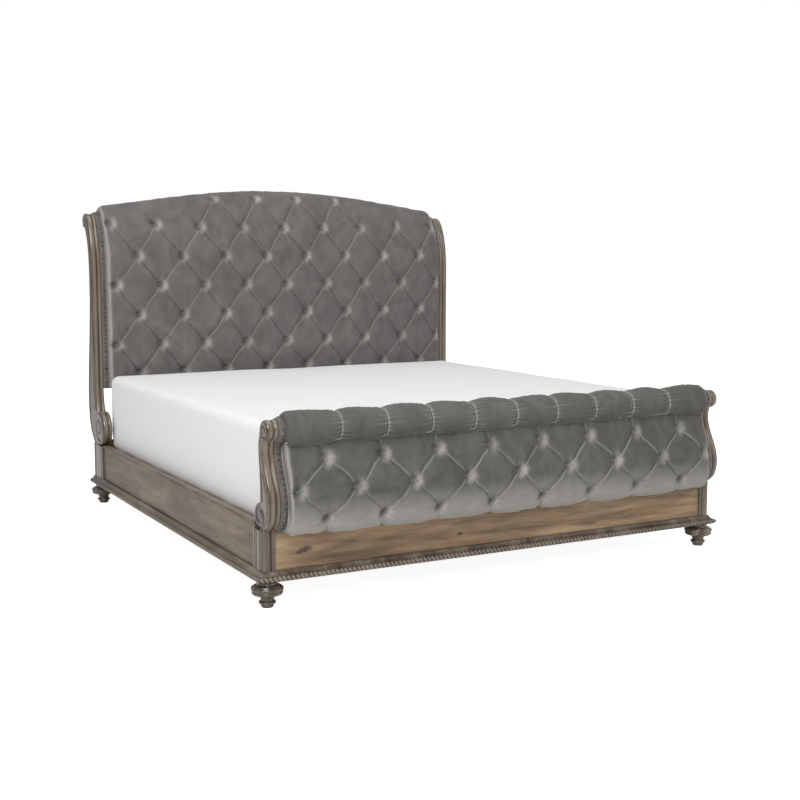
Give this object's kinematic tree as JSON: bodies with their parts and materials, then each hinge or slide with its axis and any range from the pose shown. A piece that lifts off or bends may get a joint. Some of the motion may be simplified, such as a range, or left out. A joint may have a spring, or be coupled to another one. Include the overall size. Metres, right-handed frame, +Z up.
{
  "type": "sleigh bed",
  "caption": "King-size sleigh bed with a deep-buttoned velvet headboard and footboard, scroll posts, wooden side rails on slats, and a mattress.",
  "frame": {"origin": "on the floor, below the middle of the whole bed", "axes": "+Z up, +Y towards the head, +X to the right seen from the foot"},
  "size_m": [2.1242, 2.48, 1.5759],
  "materials": {
    "post_wood": "weathered pecan stain, satin",
    "dark_wood": "dark weathered stain with burnished edges, satin",
    "plank_wood": "weathered pecan stain with knots, satin",
    "pine": "bare planed pine",
    "plywood": "bare plywood",
    "velvet": "grey velvet, short pile",
    "button_velvet": "grey velvet over a button mould",
    "back_fabric": "plain grey upholstery cloth",
    "nail_metal": "aged antique nailhead",
    "steel": "zinc plated",
    "glide_plastic": "black nylon",
    "white_cover": "plain white stretch cover"
  },
  "bodies": {
    "bed_frame": {"base_moulding_foot": "dark_wood", "base_moulding_left": "dark_wood", "base_moulding_right": "dark_wood", "beam_brackets": "steel", "centre_beam": "pine", "centre_leg_1": "pine", "centre_leg_2": "pine", "centre_leg_3": "pine", "foot_block_left": "post_wood", "foot_block_right": "post_wood", "foot_lower_panel": "plank_wood", "foot_scroll_left": "post_wood", "foot_scroll_right": "post_wood", "footboard_back": "back_fabric", "footboard_borders": "velvet", "footboard_buttons": "button_velvet", "footboard_nails": "nail_metal", "footboard_pad": "velvet", "footboard_panel": "plywood", "footboard_rib_1": "plywood", "footboard_rib_2": "plywood", "footboard_roll": "velvet", "footboard_roll_core": "plywood", "head_block_left": "post_wood", "head_block_right": "post_wood", "head_cross_rail": "plank_wood", "head_scroll_left": "post_wood", "head_scroll_right": "post_wood", "headboard_back": "back_fabric", "headboard_borders": "velvet", "headboard_buttons": "button_velvet", "headboard_nails": "nail_metal", "headboard_pad": "velvet", "headboard_panel": "plywood", "headboard_rib_1": "plywood", "headboard_rib_2": "plywood", "headboard_top_rail": "plywood", "rail_bead_left": "plank_wood", "rail_bead_right": "plank_wood", "rail_hook_plates": "steel", "side_rail_left": "plank_wood", "side_rail_right": "plank_wood", "slat_1": "pine", "slat_2": "pine", "slat_3": "pine", "slat_4": "pine", "slat_5": "pine", "slat_6": "pine", "slat_7": "pine", "slat_ledge_left": "pine", "slat_ledge_right": "pine", "slat_screws": "steel", "turned_foot_foot_left": "dark_wood", "turned_foot_foot_right": "dark_wood", "turned_foot_head_left": "dark_wood", "turned_foot_head_right": "dark_wood"},
    "mattress_body": {"mattress": "white_cover"},
    "glide_body_1": {"levelling_glide_1": "glide_plastic"},
    "glide_body_2": {"levelling_glide_2": "glide_plastic"},
    "glide_body_3": {"levelling_glide_3": "glide_plastic"}
  },
  "joints": [
    {"name": "mattress_lift", "type": "slide", "parent": "bed_frame", "child": "mattress_body", "axis": [0, 0, 1], "range_m": [0, 1.35]},
    {"name": "glide_1_screw", "type": "slide", "parent": "bed_frame", "child": "glide_body_1", "axis": [0, 0, -1], "range_m": [0, 0.015]},
    {"name": "glide_2_screw", "type": "slide", "parent": "bed_frame", "child": "glide_body_2", "axis": [0, 0, -1], "range_m": [0, 0.015]},
    {"name": "glide_3_screw", "type": "slide", "parent": "bed_frame", "child": "glide_body_3", "axis": [0, 0, -1], "range_m": [0, 0.015]}
  ]
}
